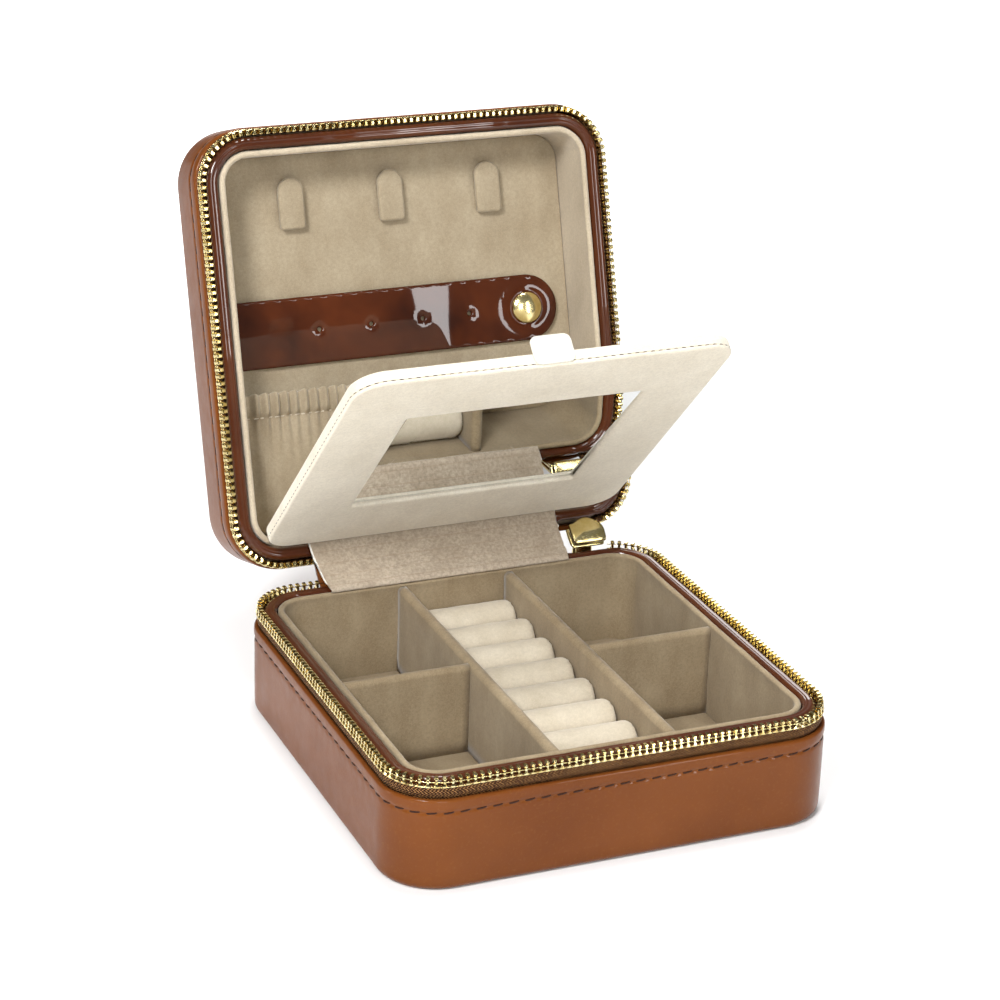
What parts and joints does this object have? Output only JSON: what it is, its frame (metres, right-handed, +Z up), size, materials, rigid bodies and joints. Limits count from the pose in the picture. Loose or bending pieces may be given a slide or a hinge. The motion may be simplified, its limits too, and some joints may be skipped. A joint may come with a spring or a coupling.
{
  "type": "jewellery case",
  "caption": "Square zip-around jewellery case, open, with divided velvet tray, ring rolls, and a lid with folding mirror flap, pocket, necklace tabs and earring strap.",
  "frame": {"origin": "centre of the base's flat underside", "axes": "+Z up, front of the case towards -Y, hinge line along X at the back"},
  "size_m": [0.1608, 0.239, 0.1961],
  "materials": {
    "tan_leather": "glossy pebbled tan",
    "patent_leather": "high-gloss patent",
    "beige_velvet": "short velvet",
    "cream_velvet": "short velvet, pale",
    "cream_ribbon": "woven ribbon",
    "zipper_tape": "herringbone woven",
    "thread": "waxed thread",
    "greyboard": "matt, hidden",
    "gold_metal": "polished, gold coloured",
    "mirror_glass": "silvered"
  },
  "bodies": {
    "case_base": {"base_leather_wall": "tan_leather", "base_bottom_cover": "tan_leather", "base_core": "greyboard", "base_stitching": "thread", "base_zipper_tape": "zipper_tape", "base_zipper_teeth": "gold_metal", "base_patent_rim": "patent_leather", "base_lining_walls": "beige_velvet", "base_lining_floor": "beige_velvet", "divider_long_left": "beige_velvet", "divider_long_right": "beige_velvet", "divider_cross_left": "beige_velvet", "divider_cross_right": "beige_velvet", "ring_roll_bed": "beige_velvet", "ring_roll_1": "beige_velvet", "ring_roll_2": "beige_velvet", "ring_roll_3": "beige_velvet", "ring_roll_4": "beige_velvet", "ring_roll_5": "beige_velvet", "ring_roll_6": "beige_velvet", "ring_roll_7": "beige_velvet", "ring_roll_8": "beige_velvet", "hinge_strip": "beige_velvet", "outer_spine": "tan_leather"},
    "lid": {"lid_leather_wall": "tan_leather", "lid_top_cover": "tan_leather", "lid_core": "greyboard", "lid_stitching": "thread", "lid_zipper_tape": "zipper_tape", "lid_zipper_teeth": "gold_metal", "lid_patent_rim": "patent_leather", "lid_lining_walls": "beige_velvet", "lid_lining_panel": "beige_velvet", "necklace_tab_1": "beige_velvet", "necklace_tab_2": "beige_velvet", "necklace_tab_3": "beige_velvet", "snap_socket": "gold_metal", "elastic_pocket": "beige_velvet", "pocket_elastic": "cream_velvet", "mirror_hinge_cloth": "cream_velvet"},
    "mirror_flap": {"mirror_frame_front": "cream_velvet", "mirror_board": "greyboard", "mirror_glass": "mirror_glass", "mirror_frame_back": "cream_velvet", "mirror_pull_tab": "cream_ribbon", "mirror_hem": "cream_velvet", "mirror_hinge_rod": "gold_metal"},
    "strap": {"earring_strap": "patent_leather", "snap_cap": "gold_metal"},
    "slider": {"zipper_slider": "gold_metal", "slider_bridge": "gold_metal"},
    "pull": {"slider_pull": "gold_metal"}
  },
  "joints": [
    {"name": "lid_hinge", "type": "hinge", "parent": "case_base", "child": "lid", "pos_m": [0, 0.083, 0.041], "axis": [1, 0, 0], "range_deg": [0, 107], "deforming": ["hinge_strip", "outer_spine"]},
    {"name": "mirror_tilt", "type": "hinge", "parent": "lid", "child": "mirror_flap", "pos_m": [0, 0.09009, 0.05222], "axis": [-1, 0, 0], "range_deg": [0, 62], "deforming": ["mirror_hinge_cloth"]},
    {"name": "slider_turn", "type": "hinge", "parent": "case_base", "child": "slider", "pos_m": [0.05655, 0.083, 0.041], "axis": [1, 0, 0], "range_deg": [0, 53.5]},
    {"name": "pull_swing", "type": "hinge", "parent": "case_base", "child": "pull", "pos_m": [0.05655, 0.083, 0.041], "axis": [1, 0, 0], "range_deg": [-4, 65]},
    {"name": "strap_swing", "type": "hinge", "parent": "lid", "child": "strap", "pos_m": [-0.0685, 0.13144, 0.11769], "axis": [0, -0.2924, -0.9563], "range_deg": [0, 6.5]}
  ],
  "couplings": [
    {"joint": "mirror_tilt", "follows": "lid_hinge", "ratio": 0.57944},
    {"joint": "slider_turn", "follows": "lid_hinge", "ratio": 0.5}
  ]
}
